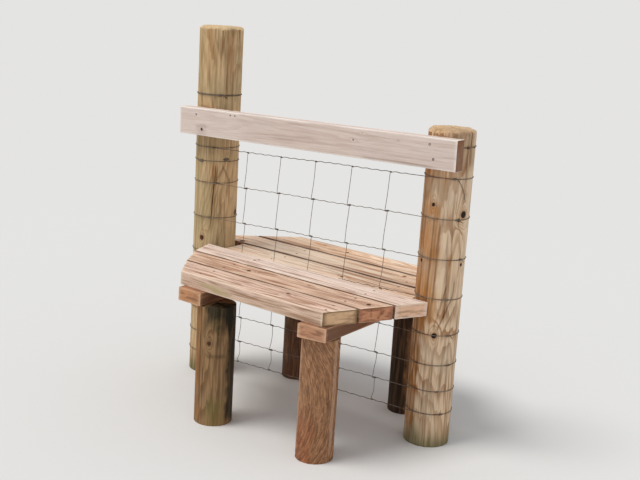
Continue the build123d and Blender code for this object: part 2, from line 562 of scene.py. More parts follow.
def plank_rows(count, lip):
    """A plank's rows of points: share of its length, inset, size and how much is end grain."""
    bend = np.linspace(0, math.pi / 2, CORNER_POINTS)[:-1]
    cap = np.linspace(0.10, 0.97, END_ROWS)
    flat = np.ones(END_ROWS)
    body = np.linspace(0, 1, count)
    body -= 0.06 * np.sin(2 * math.pi * body) / math.pi
    start = np.concatenate([0 * flat, lip * (1 - np.cos(bend))])
    share = np.concatenate([start, lip + (1 - 2 * lip) * body, 1 - start[::-1]])[:, None]
    inset = END_EDGE * mirrored(flat, 1 - np.sin(bend), 0 * body)
    scale = mirrored(cap, np.ones(len(bend)), np.ones(count))[:, None]
    is_end = mirrored(flat, smooth(1 - np.sin(bend), 0.3, 0.8), 0 * body)
    return share, inset, scale, is_end


def make_plank(plank, material):
    """A sawn timber with soft edges, fur, dents and splits, in place of its CAD node."""
    (left, right), (under, over), ends = plank.extents()
    half = np.array([right - left, over - under]) / 2
    middle = np.array([left + right, under + over]) / 2
    lip = END_EDGE / min(high - low for low, high in ends)
    share, inset, scale, is_end = plank_rows(plank.rows, lip)
    outline = plank_outline(half, plank.edge, plank.around)
    shape = (len(share), len(outline))
    section = outline * (1 - inset[:, None, None] / half) * scale[..., None]
    side, rise = np.moveaxis(middle + section, -1, 0)
    across_share = np.clip((side - left) / (right - left), 0, 1)
    low_end = ends[0][0] + (ends[1][0] - ends[0][0]) * across_share
    high_end = ends[0][1] + (ends[1][1] - ends[0][1]) * across_share
    ahead = low_end + share * (high_end - low_end)
    local = np.stack([ahead, side, rise], -1)
    end = np.broadcast_to(is_end[:, None], shape)
    hug = np.abs(section) / half
    face = np.where(hug[..., :1] > hug[..., 1:], [1.0, 0.0], [0.0, 1.0]) * np.sign(section)
    corner = smooth((np.abs(section) - half + 0.004).min(-1), -0.003, 0.003)
    fur = plank.fur * rough(local, (0.05, 0.004, 0.004), plank.seed + 1)
    dents = 0.0016 * smooth(noise(local, (0.035, 0.02, 0.02), plank.seed + 2), 0.35, 1.0) * corner
    push = (np.minimum(fur, 0) - dents) * (1 - end)
    way = np.where(corner[..., None] > 0.3, unit(section), face)
    side = side + push * way[..., 0]
    rise = rise + push * way[..., 1]
    lumps = 0.0004 * np.abs(rough(local, (0.006, 0.006, 0.006), plank.seed + 3, 2)) * end
    ahead = ahead + lumps * np.where(share < 0.5, 1, -1)
    crack = np.zeros(shape)
    for from_high_end, split_side, reach, width_open, depth in plank.splits:
        place = left + split_side * (right - left)
        run = high_end - ahead if from_high_end else ahead - low_end
        fade = np.clip(1 - run / reach, 0, 1) ** 0.6
        profile = np.clip(1 - np.abs(side - place) / (width_open / 2 * fade + 1e-6), 0, 1)
        profile = profile * (rise > middle[1] - 0.4 * half[1]) * (fade > 0.02)
        crack = np.maximum(crack, profile)
        rise = rise - depth * profile * (1 - end) * (rise > over - 0.004)
    points = closed(
        ahead[..., None] * plank.along + side[..., None] * plank.across + rise[..., None] * plank.up
    )
    grain = closed(np.stack([ahead, side - middle[0], rise - middle[1]], -1))
    near_end = bell(np.minimum(ahead - low_end, high_end - ahead), 0.006)
    rim = end * bell(np.minimum((1 - scale) * half[1], 0.02), 0.004)
    fields = grain_fields(plank, grain, plank.knots) | {
        "crack": ended(crack),
        "end": ended(end, 1),
        "rim": ended(rim),
        "edge": ended(np.maximum(corner, near_end) * (1 - end)),
        # The sides that face a gap are darkened: dirt, and painted shade in the gap.
        "stain": ended(grime(plank, local, left, right) * (1 - end)),
        "tint": blemishes_and_painted_shade(plank, grain, plank.marks),
        "wash": blemishes_and_painted_shade(plank, grain, plank.washes),
    }
    faces = tube_faces(*shape)
    add_piece(plank.node + "_timber", (points, faces), material, [plank.node], fields)


# Materials


def colour(tint):
    """A colour as a screen shows it, from 0 to 255, turned into linear light."""
    shares = [part / 255 for part in tint]
    linear = [s / 12.92 if s <= 0.04045 else ((s + 0.055) / 1.055) ** 2.4 for s in shares]
    return (*linear, 1.0)


class Tree:
    """A material's or the world's nodes, made one by one."""

    def __init__(self, owner):
        owner.use_nodes = True
        self.owner = owner
        self.tree = owner.node_tree
        self.tree.nodes.clear()

    def add(self, kind, inputs=None, **settings):
        """A node. inputs maps a socket to a value or to another node's output."""
        made = self.tree.nodes.new("ShaderNode" + kind)
        for key, value in settings.items():
            setattr(made, key, value)
        for socket, value in (inputs or {}).items():
            if isinstance(value, bpy.types.NodeSocket):
                self.tree.links.new(value, made.inputs[socket])
            else:
                made.inputs[socket].default_value = value
        return made

    def math(self, operation, first, second=0.0, clamp=False):
        made = self.add("Math", {0: first, 1: second}, operation=operation, use_clamp=clamp)
        return made.outputs[0]

    def times(self, first, second, clamp=False):
        return self.math("MULTIPLY", first, second, clamp)

    def plus(self, first, second):
        return self.math("ADD", first, second)

    def place(self):
        """The place on the part, in metres."""
        return self.add("TexCoord").outputs["Object"]

    def field(self, name):
        """A value that the mesh carries at its points."""
        return self.add("Attribute", attribute_name=name).outputs["Fac"]

    def noise(self, vector, scale, detail=2.0, roughness=0.5, distortion=0.0):
        return self.add("TexNoise", {
            "Vector": vector, "Scale": scale, "Detail": detail, "Roughness": roughness,
            "Distortion": distortion,
        }).outputs[0]

    def span(self, value, low, high, to_low=0.0, to_high=1.0):
        """An even curve from to_low to to_high as the value goes from low to high."""
        values = {0: value, 1: low, 2: high, 3: to_low, 4: to_high}
        return self.add("MapRange", values, interpolation_type="SMOOTHSTEP").outputs[0]

    def mix(self, share, first, second):
        """The first colour, or by share the second one."""
        return self.add("Mix", {0: share, 6: first, 7: second}, data_type="RGBA").outputs[2]

    def paint(self, base, share, tint):
        """A colour with a tint over it by share."""
        return self.mix(share, base, colour(tint))

    def along_grain(self, along, across=1.0):
        """The grain's coordinates, squeezed by shares along the timber and across it."""
        place = self.add("Attribute", attribute_name="grain").outputs["Vector"]
        return self.add("Mapping", {"Vector": place, "Scale": (along, across, 1.0)}).outputs[0]

    def bumps(self, height, strength, distance):
        values = {"Height": height, "Strength": strength, "Distance": distance}
        return self.add("Bump", values).outputs[0]

    def surface(self, inputs):
        """The material, with one shader on it."""
        shader = self.add("BsdfPrincipled", inputs)
        self.add("OutputMaterial", {"Surface": shader.outputs[0]})
        return self.owner


@dataclass
class Wood:
    """What one kind of timber looks like, its colours from 0 to 255 and its amounts as shares."""

    early: tuple
    late: tuple
    streak: tuple
    streak_share: float
    patch: tuple
    end_tint: tuple
    weather_share: float
    ring_width: float = 0.0035
    ring_share: float = 0.7
    stripe_share: float = 0.35
    knot: tuple = (95, 55, 32)
    end_share: float = 0.45
    end_lines: float = 0.35
    end_squeeze: float = 0.16
    rim: tuple = (84, 58, 32)
    rim_share: float = 0.2
    edge: tuple = (236, 220, 206)
    edge_share: float = 0.0
    weather: tuple = (150, 140, 122)
    foot: float = 0.0
    tint: tuple = (198, 128, 62)
    wash: tuple = (132, 122, 88)
    stain: tuple = (66, 44, 30)
    saw: float = 0.0
    grit: float = 0.0
    grit_tint: tuple = (62, 38, 24)
    grit_bend: float = 0.0
    bump: float = 0.5


def growth_rings(t, look, streak):
    """The wood between and along its rings, some stronger than others, and the rings' bands."""
    phase = t.plus(t.math("DIVIDE", t.field("ring"), look.ring_width), t.times(streak, 0.5))
    share = t.math("FRACT", phase)
    band = t.times(t.span(share, 0.25, 0.86), t.span(share, 0.93, 1.0, 1.0, 0.0))
    values = {"W": t.times(phase, 0.31), "Scale": 1.0, "Detail": 2.0}
    year = t.add("TexNoise", values, noise_dimensions="1D").outputs[0]
    strength = t.times(band, t.span(year, 0.3, 0.7, 0.35 * look.ring_share, 1.25 * look.ring_share))
    tint = t.times(t.field("tint"), t.span(streak, 0.25, 0.6, 0.5, 1.0), clamp=True)
    strength = t.times(strength, t.plus(tint, 1.0), clamp=True)
    early = t.paint(colour(look.early), t.times(tint, 0.78), look.tint)
    late = t.paint(colour(look.late), t.times(tint, 0.85), look.tint)
    return t.mix(strength, early, late), band


def knots_and_cracks(t, look, wood):
    """Knots with their bark, and cracks, over a colour."""
    knot = t.field("knot")
    wood = t.paint(wood, t.span(knot, 0.9, 2.3, 0.55, 0.0), look.late)
    knot_ring = t.span(t.math("FRACT", t.times(knot, 4.2)), 0.2, 0.9)
    knot_wood = t.paint(colour(look.knot), knot_ring, [part * 0.5 for part in look.knot])
    wood = t.mix(t.span(knot, 0.86, 1.12, 1.0, 0.0), wood, knot_wood)
    bark = t.times(t.span(knot, 0.82, 0.98), t.span(knot, 0.98, 1.2, 1.0, 0.0))
    wood = t.paint(wood, t.times(bark, 0.75), BARK)
    return t.paint(wood, t.times(t.field("crack"), 0.88), CRACK)


def wood_material(name, look):
    """Sawn or round timber, from the values that its mesh carries."""
    t = Tree(bpy.data.materials.new(name))
    stretched = t.along_grain(0.045)
    eased = t.along_grain(0.12)
    fibre = t.noise(stretched, 420, 4, 0.65)
    streak = t.noise(stretched, 75, 3, 0.6, 0.4)
    stripe = t.noise(stretched, 170, 2, 0.55, 0.3)
    broad = t.noise(eased, 16, 3, 0.6)
    patch = t.noise(t.along_grain(1.0), 5.5, 4, 0.6)

    wood, band = growth_rings(t, look, streak)

    # Fibres, streaks and the saw's marks
    wood = t.paint(wood, t.span(broad, 0.45, 0.75, 0, 0.4), look.patch)
    wood = t.paint(wood, t.span(streak, 0.50, 0.70, 0, look.streak_share), look.streak)
    wood = t.paint(wood, t.span(stripe, 0.52, 0.66, 0, look.stripe_share), look.streak)
    wood = t.paint(wood, t.span(fibre, 0.35, 0.7, 0.16, 0.0), look.streak)
    relief = t.plus(t.times(fibre, 0.8), t.times(band, -0.25))
    relief = t.plus(relief, t.times(streak, 0.6))
    if look.grit:
        speck = t.noise(eased, 190, 2, 0.5, look.grit_bend)
        wood = t.paint(wood, t.span(speck, 0.42, 0.62, 0, look.grit), look.grit_tint)
        relief = t.math("SUBTRACT", relief, t.times(speck, 1.2))
    if look.saw:
        values = {"Vector": eased, "Scale": 14.0, "Distortion": 3.0, "Detail": 2.0}
        bands = t.add("TexWave", values, bands_direction="X").outputs["Fac"]
        wood = t.paint(wood, t.times(bands, look.saw), look.late)
        relief = t.plus(relief, t.times(bands, 0.5))

    # End grain, worn edges with a painted highlight, and weathering
    end = t.field("end")
    wood = t.paint(wood, t.times(end, look.end_share), look.end_tint)
    lines = t.noise(t.along_grain(0.1, look.end_squeeze), 110, 3, 0.6, 0.3)
    wood = t.paint(wood, t.times(end, t.span(lines, 0.45, 0.66, 0, look.end_lines)), look.streak)
    if look.edge_share:
        # Lighter edges: wear, and a painted highlight along the edges that catch the light.
        worn = t.times(t.field("edge"), t.span(broad, 0.25, 0.6, 0, look.edge_share))
        wood = t.paint(wood, worn, look.edge)
    wood = t.paint(wood, t.times(t.span(patch, 0.42, 0.68), look.weather_share), look.weather)
    wood = t.paint(wood, t.times(t.field("rim"), look.rim_share), look.rim)
    if look.foot:
        height = t.add("SeparateXYZ", {0: t.place()}).outputs[2]
        height = t.plus(height, t.times(t.math("SUBTRACT", broad, 0.5), 0.12))
        wood = t.paint(wood, t.span(height, 0.0, look.foot, 0.75, 0.0), ALGAE)
    wash = t.times(t.field("wash"), t.span(stripe, 0.3, 0.6, 0.55, 1.0), clamp=True)
    wood = t.paint(wood, wash, look.wash)
    # Stains, with painted shade in the board gaps and on some logs.
    stain = t.times(t.field("stain"), t.span(streak, 0.3, 0.6, 0.72, 1.0), clamp=True)
    wood = t.paint(wood, stain, look.stain)
    wood = knots_and_cracks(t, look, wood)
    return t.surface({
        "Base Color": wood, "Roughness": t.span(streak, 0.3, 0.8, 0.74, 0.92),
        "Normal": t.bumps(relief, look.bump, 0.0012), "Specular IOR Level": 0.3,
    })


def wire_material():
    """Dull galvanised wire, browned in places."""
    t = Tree(bpy.data.materials.new("old_wire"))
    rust = t.span(t.noise(t.place(), 38, 4, 0.7), 0.42, 0.66)
    skin = t.paint(colour((142, 132, 120)), t.noise(t.place(), 300), (100, 91, 82))
    return t.surface({
        "Base Color": t.paint(skin, rust, (98, 66, 46)), "Metallic": 0.35,
        "Roughness": t.span(rust, 0, 1, 0.5, 0.8), "Specular IOR Level": 0.4,
        "Normal": t.bumps(t.noise(t.place(), 700), 0.3, 0.0003),
    })


def steel_material():
    """Browned screw heads."""
    t = Tree(bpy.data.materials.new("screw_steel"))
    rust = t.span(t.noise(t.place(), 260, 3, 0.7), 0.40, 0.62)
    return t.surface({
        "Base Color": t.paint(colour((66, 56, 48)), rust, (56, 36, 25)), "Metallic": 0.15,
        "Roughness": t.span(rust, 0, 1, 0.6, 0.85), "Specular IOR Level": 0.3,
    })


# Wires


def sweep(path, radius, sides=8):
    """Points and faces of a round wire along a path, closed at both ends."""
    directions = unit(np.gradient(path, axis=0))
    aside = np.cross(directions[0], [0.3, 0.5, 0.8])
    angle = (np.arange(sides) * 2 * math.pi / sides)[:, None]
    rows = []
    for spot, ahead in zip(path, directions):
        aside = unit(aside - ahead * (aside @ ahead))
        ring = np.cos(angle) * aside + np.sin(angle) * np.cross(ahead, aside)
        rows.append(spot + radius * ring)
    return closed(np.array(rows)), tube_faces(len(rows), sides)


def helix(path, ahead, start, turns, radius, phase):
    """A helix round a path, from its direction and any direction not along it."""
    first = unit(np.cross(ahead, start))
    angle = (phase + 2 * math.pi * turns * np.linspace(0, 1, len(path)))[:, None]
    return path + radius * (np.cos(angle) * first + np.sin(angle) * np.cross(ahead, first))


def coil(start, end, turns, radius, phase):
    """A helix round the straight line from start to end."""
    line = start + np.linspace(0, 1, 10 * turns + 1)[:, None] * (end - start)
    return helix(line, unit(end - start), [0, 0.2, 1], turns, radius, phase)


# The fence's wires and their ties


def gauge(row):
    """The radius of a line wire, which is thicker at the net's top and bottom."""
    return LINE_WIRE if row in (0, LAST_ROW) else THIN_WIRE


def line_wire(row):
    """A line wire between the posts, standing back a little, with its tension crimps."""
    x = np.linspace(0.001, POST_SPACING - 0.001, 210)
    bow = NET_BOW * smooth(x, 0.06, 0.16) * (1 - smooth(x, 0.86, 0.95))
    crimp = 0.0011 * np.sin(2 * math.pi * (x / 0.038 + 0.37 * row)) * smooth(x, 0.08, 0.13)
    crimp *= 1 - smooth(x, 0.87, 0.92)
    sag = 0.0022 * along_only(x, 0.20, 300 + row) * np.sin(math.pi * x)
    return np.stack([x, NET_PLANE + bow, NET_HEIGHTS[row] + NET_SLOPE * x + crimp + sag], -1)


def spot_at(line, x):
    """A line wire's point at X."""
    return np.array([np.interp(x, line[:, 0], line[:, axis]) for axis in range(3)])


def stay_segment(stay, row, lines):
    """An upright between two line wires, wound round both of them."""
    coils = []
    for line, side, phase in ((lines[row], 1, math.pi), (lines[row + 1], -1, 0.0)):
        spot = spot_at(line, STAYS[stay] + side * 0.0035)
        reach = np.array([0.0035, 0, 0.0035 * NET_SLOPE])
        coils.append(coil(spot - reach, spot + reach, 2, LINE_WIRE + STAY_WIRE, phase))
    upper, lower = coils[0][::-1], coils[1]
    share = np.linspace(0, 1, 14)[1:-1]
    middle = upper[-1] + share[:, None] * (lower[0] - upper[-1])
    loose = (0.004 if NET_HEIGHTS[row] < 0.42 else 0.0012) * np.sin(math.pi * share)
    seed = 400 + 10 * stay + row
    middle[:, 0] += loose * (0.5 + along_only(share * 0.1, 0.06, seed))
    middle[:, 1] += loose * 0.8 * along_only(share * 0.1, 0.06, seed + 100)
    return np.concatenate([upper, middle, lower])


def add_net(wire):
    """The net between the posts, in place of its CAD node."""
    lines = [line_wire(row) for row in range(len(NET_HEIGHTS))]
    parts = [sweep(line, gauge(row)) for row, line in enumerate(lines)]
    for stay in range(len(STAYS)):
        for row in range(LAST_ROW):
            if (stay, row) != (SNIPPED_STAY, SNIPPED_ROW):
                parts.append(sweep(stay_segment(stay, row, lines), STAY_WIRE, 6))
    # The two ends of the upright that is snipped to let the right bearer through
    low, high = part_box("right_bearer")
    for row, end in ((SNIPPED_ROW, high.z + 0.004), (SNIPPED_ROW + 1, low.z - 0.006)):
        x = STAYS[SNIPPED_STAY]
        _, depth, level = spot_at(lines[row], x)
        z = np.linspace(*sorted((level, end)), 9)
        stub = np.stack([x + 0.06 * (z - level), np.full(len(z), depth + 0.0023), z], -1)
        parts.append(sweep(stub, STAY_WIRE, 6))
    add_piece("net_wires", joined(parts), wire, ["net"])


def on_post(log, degrees, height, off=LINE_WIRE + WIRE_SEAT):
    """Points that lie on a post's surface, or off it, at angles and heights."""
    angle = np.radians(degrees)
    centre = log.place()[0]
    height = np.broadcast_to(height, angle.shape).astype(float)
    radius = log.surface(angle, height) + off
    return np.stack([centre[0] + radius * np.cos(angle), centre[1] + radius * np.sin(angle), height], -1)


def tie_knot(log, degrees, height, turns=4, thick=LINE_WIRE, tail=None):
    """A wire's end wound round itself on a post, with its snipped tail left standing off."""
    half = math.degrees(turns * thick * 1.15 / log.place()[1])
    spots = np.linspace(degrees - half, degrees + half, turns * 12 + 1)
    core = on_post(log, spots, height, 2 * thick + WIRE_SEAT)
    path = helix(core, unit(np.gradient(core, axis=0)), [0, 0, 1], turns, 1.7 * thick, 0)
    parts = [sweep(core, thick), sweep(path, thick, 7)]
    if tail:
        turn, drop, lift = tail
        share = np.linspace(0, 1, 16)
        leave = on_post(log, degrees + half + turn * share, height - drop * share**1.6, 0.0025)
        out = unit((leave - np.append(log.place()[0], 0)) * [1, 1, 0])
        leave += out * (lift * np.sin(math.pi * share * 0.8))[:, None]
        parts.append(sweep(leave, thick, 7))
    return parts


def ring(log, height, start, end, seed, droop=0.0, thick=LINE_WIRE):
    """A wire laid round a post, not quite level."""
    spots = np.linspace(start, end, 150)
    arch = np.sin(math.pi * (spots - start) / (end - start))
    uneven = 0.0022 * along_only(spots / 100, 0.8, seed) * arch
    return sweep(on_post(log, spots, height + uneven - droop * arch**2), thick)


def add_wraps(wire):
    """The wires round both posts, in place of their CAD nodes."""
    ties = {}
    for name, post, knots, tails, lift in (
        ("left_post_ties", LEFT_POST, LEFT_KNOTS, LEFT_TAILS, 0.0),
        ("right_post_ties", RIGHT_POST, RIGHT_KNOTS, RIGHT_TAILS, NET_SLOPE * POST_SPACING),
    ):
        ties[name] = []
        for row, spot in enumerate(knots):
            height, thick = NET_HEIGHTS[row] + lift, gauge(row)
            ends = (spot, -450) if post is LEFT_POST else (-450, spot)
            ties[name].append(ring(post, height, *ends, 600 + row, thick=thick))
            ties[name] += tie_knot(post, spot, height, thick=thick, tail=tails.get(row))
    ties["left_post_ties"] += [
        ring(LEFT_POST, 0.844, -60, -420, 640, 0.003, THIN_WIRE),
        *tie_knot(LEFT_POST, -93, 0.842, thick=0.0019),
        *tie_knot(LEFT_POST, -26, 0.852, thick=0.0019),
    ]
    left, right = box_middle("left_top_wrap")[2], box_middle("right_top_wrap")[2]
    ties["left_top_tie"] = [
        ring(LEFT_POST, left + 0.0015, -70, -430, 650),
        ring(LEFT_POST, left - 0.0022, -60, -420, 651, -0.002),
        *tie_knot(LEFT_POST, -49, left - 0.001, thick=0.0017, tail=(14, 0.010, 0.004)),
    ]
    ties["right_top_tie"] = [
        ring(RIGHT_POST, right, -46, 226, 652),
        *tie_knot(RIGHT_POST, -20, right),
        *tie_knot(RIGHT_POST, 4, right, 3, 0.0010),
    ]
    nodes = ("left_net_wraps", "right_net_wraps", "left_top_wrap", "right_top_wrap")
    for node, (name, parts) in zip(nodes, ties.items()):
        add_piece(name, joined(parts), wire, [node])


# Screws


def screw_head(spot, out, turn):
    """A flat head with a cross recess, set on a surface that faces along out."""
    first = unit(np.cross(out, [0.31, 0.52, 0.79]))
    second = np.cross(out, first)
    radii = np.array([1.0, 1.0, 0.94, 0.72, 0.60, 0.48, 0.36, 0.22, 0.10])
    rise = np.array([-1.0, 0.16, 0.30, 0.26, 0.24, 0.22, 0.2, 0.18, 0.16]) * 0.0015
    angle = np.linspace(0, 2 * math.pi, 32, endpoint=False) + turn
    rows = []
    for radius, height in zip(radii, rise):
        x, y = radius * np.cos(angle), radius * np.sin(angle)
        recess = (np.minimum(np.abs(x), np.abs(y)) < 0.11) & (radius < 0.62)
        level = (height - 0.0009 * recess)[:, None] * out
        rows.append(spot + SCREW_RADIUS * (x[:, None] * first + y[:, None] * second) + level)
    return closed(np.array(rows)), tube_faces(len(radii), len(angle))


def board_screws(plank):
    """Places and directions of the screws through a board into both bearers."""
    (left, right), (_, top), _ = plank.extents()
    marks = []
    for count, bearer in enumerate(BEARERS):
        for share in BOARD_SCREWS:
            off = 0.012 * lattice(np.array([count, int(share * 10), plank.seed]), 7)
            ahead = (box_middle(bearer.node)[0] + off) / STEP_ALONG[0]
            side = left + (right - left) * share
            marks.append((ahead * STEP_ALONG + side * ACROSS + (top - 0.0002) * STEP_UP, STEP_UP))
    return marks


def add_screws(steel):
    """Screws that hold the rail to the posts and the boards to the bearers."""
    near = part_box("rail")[0].y + 0.0003
    groups = {"rail": [(np.array([x, near, z]), -ACROSS) for x, z in RAIL_SCREWS]}
    for step in ("near", "far"):
        boards = [plank for plank in BOARDS if plank.node.startswith(step)]
        groups[step + "_step"] = [mark for plank in boards for mark in board_screws(plank)]
    for name, marks in groups.items():
        heads = [screw_head(spot, out, 0.7 * count) for count, (spot, out) in enumerate(marks)]
        add_piece(name + "_screws", joined(heads), steel)


# The stage


def add_stage():
    """A pale floor that fades into the background."""
    bpy.ops.mesh.primitive_circle_add(vertices=96, radius=60, fill_type="NGON", location=(0.5, 0, 0))
    floor = bpy.context.object
    floor.name = "floor"
    t = Tree(bpy.data.materials.new("pale_floor"))
    away = t.add("VectorMath", {0: t.place()}, operation="LENGTH").outputs["Value"]
    matt = t.add("BsdfPrincipled", {"Base Color": FLOOR, "Roughness": 0.95, "Specular IOR Level": 0.1})
    far = t.add("Emission", {"Color": BACKGROUND, "Strength": 1.0})
    mixed = t.add("MixShader", {0: t.span(away, 1.6, 5.0), 1: matt.outputs[0], 2: far.outputs[0]})
    t.add("OutputMaterial", {"Surface": mixed.outputs[0]})
    floor.data.materials.append(t.owner)


def add_world():
    """Soft light from all round, with a pale background for the camera and for gloss."""
    scene.world = bpy.data.worlds.new("sky")
    t = Tree(scene.world)
    ray = t.add("LightPath")
    shown = t.math("MAXIMUM", ray.outputs["Is Camera Ray"], ray.outputs["Is Glossy Ray"])
    shown = t.math("MAXIMUM", shown, ray.outputs["Is Transmission Ray"])
    light = t.add("Background", {"Color": (0.95, 0.975, 1.0, 1), "Strength": 0.60})
    seen = t.add("Background", {"Color": BACKGROUND, "Strength": 1.0})
    mixed = t.add("MixShader", {0: shown, 1: light.outputs[0], 2: seen.outputs[0]})
    t.add("OutputWorld", {"Surface": mixed.outputs[0]})


def add_sun():
    """One broad, soft light from above, a little to the left of the camera."""
    data = bpy.data.lights.new("sun", "SUN")
    data.energy = 1.7
    data.angle = math.radians(24)
    data.color = (1.0, 0.975, 0.94)
    lamp = add_object("sun", data)
    lamp.rotation_euler = Vector((0.32, 0.36, -1.0)).to_track_quat("-Z", "Y").to_euler()


def add_camera():
    """The camera, where the photograph was taken from."""
    data = bpy.data.cameras.new("camera")
    data.lens = CAMERA_LENS
    camera = add_object("camera", data)
    aim = Euler((math.radians(90 - CAMERA_PITCH), 0, math.radians(-CAMERA_HEADING))).to_matrix()
    turn = Euler((0, 0, math.radians(CAMERA_ROLL))).to_matrix()
    camera.matrix_world = (aim @ turn).to_4x4()
    camera.location = CAMERA_PLACE
    scene.camera = camera


# The stile's timbers


def rail_housing():
    """Low and high edge of the rail's housing above the fence line, and its flat face."""
    points = corners("rail")
    level = points[:, 2] - RAIL_SLOPE * points[:, 0]
    return level.min(), level.max(), points[:, 1].max()


def leg(node, seed, **look):
    """A leg under a bearer, with its top cut to the step's slope."""
    shared = {"slope": STEP_SLOPE, "worn": 0.0015, "uneven": 0.002, "drift": 0.012, "taper": 0.02}
    return Log(node, "leg_timber", seed, **(shared | look))


def step_board(node, seed, **look):
    """A board of either step, laid along the fence."""
    return Plank(node, "board_timber", seed, STEP_ALONG, ACROSS, STEP_UP, **look)


HOUSING = rail_housing()
LEFT_POST = Log(
    "left_post", "left_post_timber", seed=3, worn=0.011, furrow=0.00035, pith=(0.006, -0.004),
    taper=0.006, waver=0.003,
    checks=(
        (-61, 4, 0.6, 0.79, 0.0046, 0.005), (-58, -8, 0.77, 0.828, 0.0026, 0.003),
        (-54, 8, 0.77, 0.832, 0.0026, 0.003), (152, 3, 0.12, 1.36, 0.005, 0.02),
        (40, -3, 0.77, 1.36, 0.0022, 0.009),
    ),
    tints=(
        (-26, 9, 1.08, 1.345, 0.8, 3), (-74, 7, 1.1, 1.33, 0.3, -4), (-95, 20, 0.9, 1.4, 0.15),
        (-48, 6, 0.62, 0.83, 0.4, -8), (-60, 9, 0.585, 0.84, 0.75, 4),
    ),
    stains=(
        (-32, 2.6, 1.1, 1.33, 0.4), (-14, 3.0, 1.09, 1.33, 0.35), (2, 3.0, 1.09, 1.32, 0.3),
        (-88, 2.6, 1.295, 1.33, 0.35, -20), (-52, 2.6, 1.24, 1.31, 0.4, -14),
        (-72, 2.4, 1.1, 1.25, 0.28, 5), (-51, 3.4, 0.765, 0.832, 0.55, 22),
        (-12, 3.4, 0.765, 0.832, 0.55, -24), (-84, 2.4, 0.6, 0.83, 0.28, 4),
        (-100, 2.6, 0.56, 0.8, 0.25, -5), (-30, 2.6, 0.57, 0.72, 0.28, -8),
        # Painted shade in a band just under the rail.
        (-60, 75, 0.865, 0.945, 0.2),
    ),
    washes=((-118, 26, 0.55, 1.35, 0.3), (-80, 16, 0.6, 0.74, 0.25)),
    knots=(
        (-86, 0.545, 0.009), (20, 0.642, 0.01), (120, 0.972, 0.012), (-140, 0.322, 0.01),
        (75, 0.272, 0.009),
    ),
    housing=HOUSING,
)
RIGHT_POST = Log(
    "right_post", "right_post_timber", seed=9, rows=200, pith=(-0.009, 0.006), waver=0.0036,
    checks=(
        (-24, 4, 0.952, 1.102, 0.0034, 0.012), (-20, 12, 0.52, 0.78, 0.0022, 0.006),
        (128, 2, 0.222, 1.102, 0.005, 0.02), (60, -3, 0.072, 0.622, 0.0026, 0.01),
    ),
    tints=(
        # The third tint is painted shade on the upper part of the post's front, from 0.96 m up.
        (-98, 30, 0.43, 0.82, 1.3), (-122, 26, 0.06, 0.97, 1.0), (-60, 70, 0.96, 1.09, 0.35),
        (-50, 8, 0.44, 0.66, 0.45, 8), (-74, 7, 0.84, 0.94, 0.35),
    ),
    stains=(
        (-117, 2.8, 0.1, 0.81, 0.55), (-92, 2.8, 0.44, 0.8, 0.6, 3), (-76, 2.6, 0.5, 0.78, 0.45, 4),
        (-130, 3.0, 0.1, 0.9, 0.4), (-104, 2.6, 0.1, 0.4, 0.4), (-98, 2.4, 0.85, 0.93, 0.35, 4),
        (-84, 2.2, 0.84, 0.92, 0.25), (-62, 2.4, 0.86, 0.93, 0.22), (-44, 2.6, 0.45, 0.74, 0.35, -8),
        (-34, 2.4, 0.46, 0.6, 0.35, 12), (-60, 2.8, 0.412, 0.53, 0.6, 32),
        (-48, 2.8, 0.4, 0.5, 0.55, 34), (-66, 2.6, 0.43, 0.58, 0.45, 24), (-80, 3.0, 0.12, 0.37, 0.35),
        (-42, 3.0, 0.15, 0.38, 0.35, 8), (-24, 3.0, 0.2, 0.42, 0.35), (-58, 2.8, 0.16, 0.33, 0.3, -6),
        # Painted shade on the upper part of the post's front, from 0.96 m up.
        (-60, 70, 0.962, 1.084, 0.24),
    ),
    # The first wash is a painted highlight down the post's right side.
    washes=((2, 14, 0.5, 0.95, 0.6), (-60, 13, 0.53, 0.76, 0.4), (-46, 20, 0.84, 0.93, 0.3)),
    knots=(
        (-94, 0.837, 0.0062), (-14, 0.809, 0.0115), (-28, 0.791, 0.0055), (-6, 0.64, 0.0055),
        (-64, 0.398, 0.0088), (-119, 0.644, 0.0055), (90, 0.722, 0.012), (150, 0.442, 0.01),
        (30, 0.322, 0.009),
    ),
    housing=HOUSING,
)
LEGS = (
    leg(
        "near_left_leg", 15, around=160, rows=110, furrow=0.0005,
        checks=((-88, 2, 0.02, 0.252, 0.0022, 0.005), (100, 3, 0.0, 0.442, 0.0045, 0.016)),
        tints=((-118, 24, 0.0, 0.47, 0.9),),
        stains=(
            # The first stain is algae with painted shade under the step, the second painted shade down the
            # leg's right side.
            (-36, 40, 0.35, 0.5, 0.98), (14, 28, 0.0, 0.5, 0.94), (-84, 3, 0.3, 0.47, 0.45),
            (-48, 34, 0.25, 0.262, 0.5, -3), (-41, 5, 0.295, 0.335, 0.45), (-99, 2.6, 0.0, 0.47, 0.35),
        ),
        washes=((-44, 30, 0.0, 0.1, 0.5), (-48, 16, 0.35, 0.46, 0.35)),
        knots=((-69, 0.3, 0.007), (60, 0.222, 0.009)),
    ),
    leg(
        "near_right_leg", 21, around=190, rows=160, uneven=0.003, furrow=0.0014,
        furrow_size=(0.0055, 0.0055, 0.026), drift=0.01, waver=0.007, twist=-26.0,
        checks=((70, 2, 0.0, 0.442, 0.0045, 0.016),), knots=((150, 0.142, 0.008),),
        tints=((-96, 34, -0.05, 0.17, 0.9),), washes=((-134, 8, 0.03, 0.41, 0.6), (-2, 8, 0.05, 0.42, 0.6)),
    ),
    leg(
        "far_left_leg", 27, around=130, rows=70, furrow=0.0007, waver=0.006,
        checks=((80, 2, 0.0, 0.442, 0.0045, 0.016),), knots=((40, 0.262, 0.008),),
    ),
    leg(
        "far_right_leg", 33, around=130, rows=70, furrow=0.0007, waver=0.006,
        checks=((60, 2, 0.0, 0.442, 0.0045, 0.016),), knots=((20, 0.162, 0.008),),
        # Painted shade over the leg's left half.
        stains=((-104, 58, -0.05, 0.5, 0.92),),
    ),
)
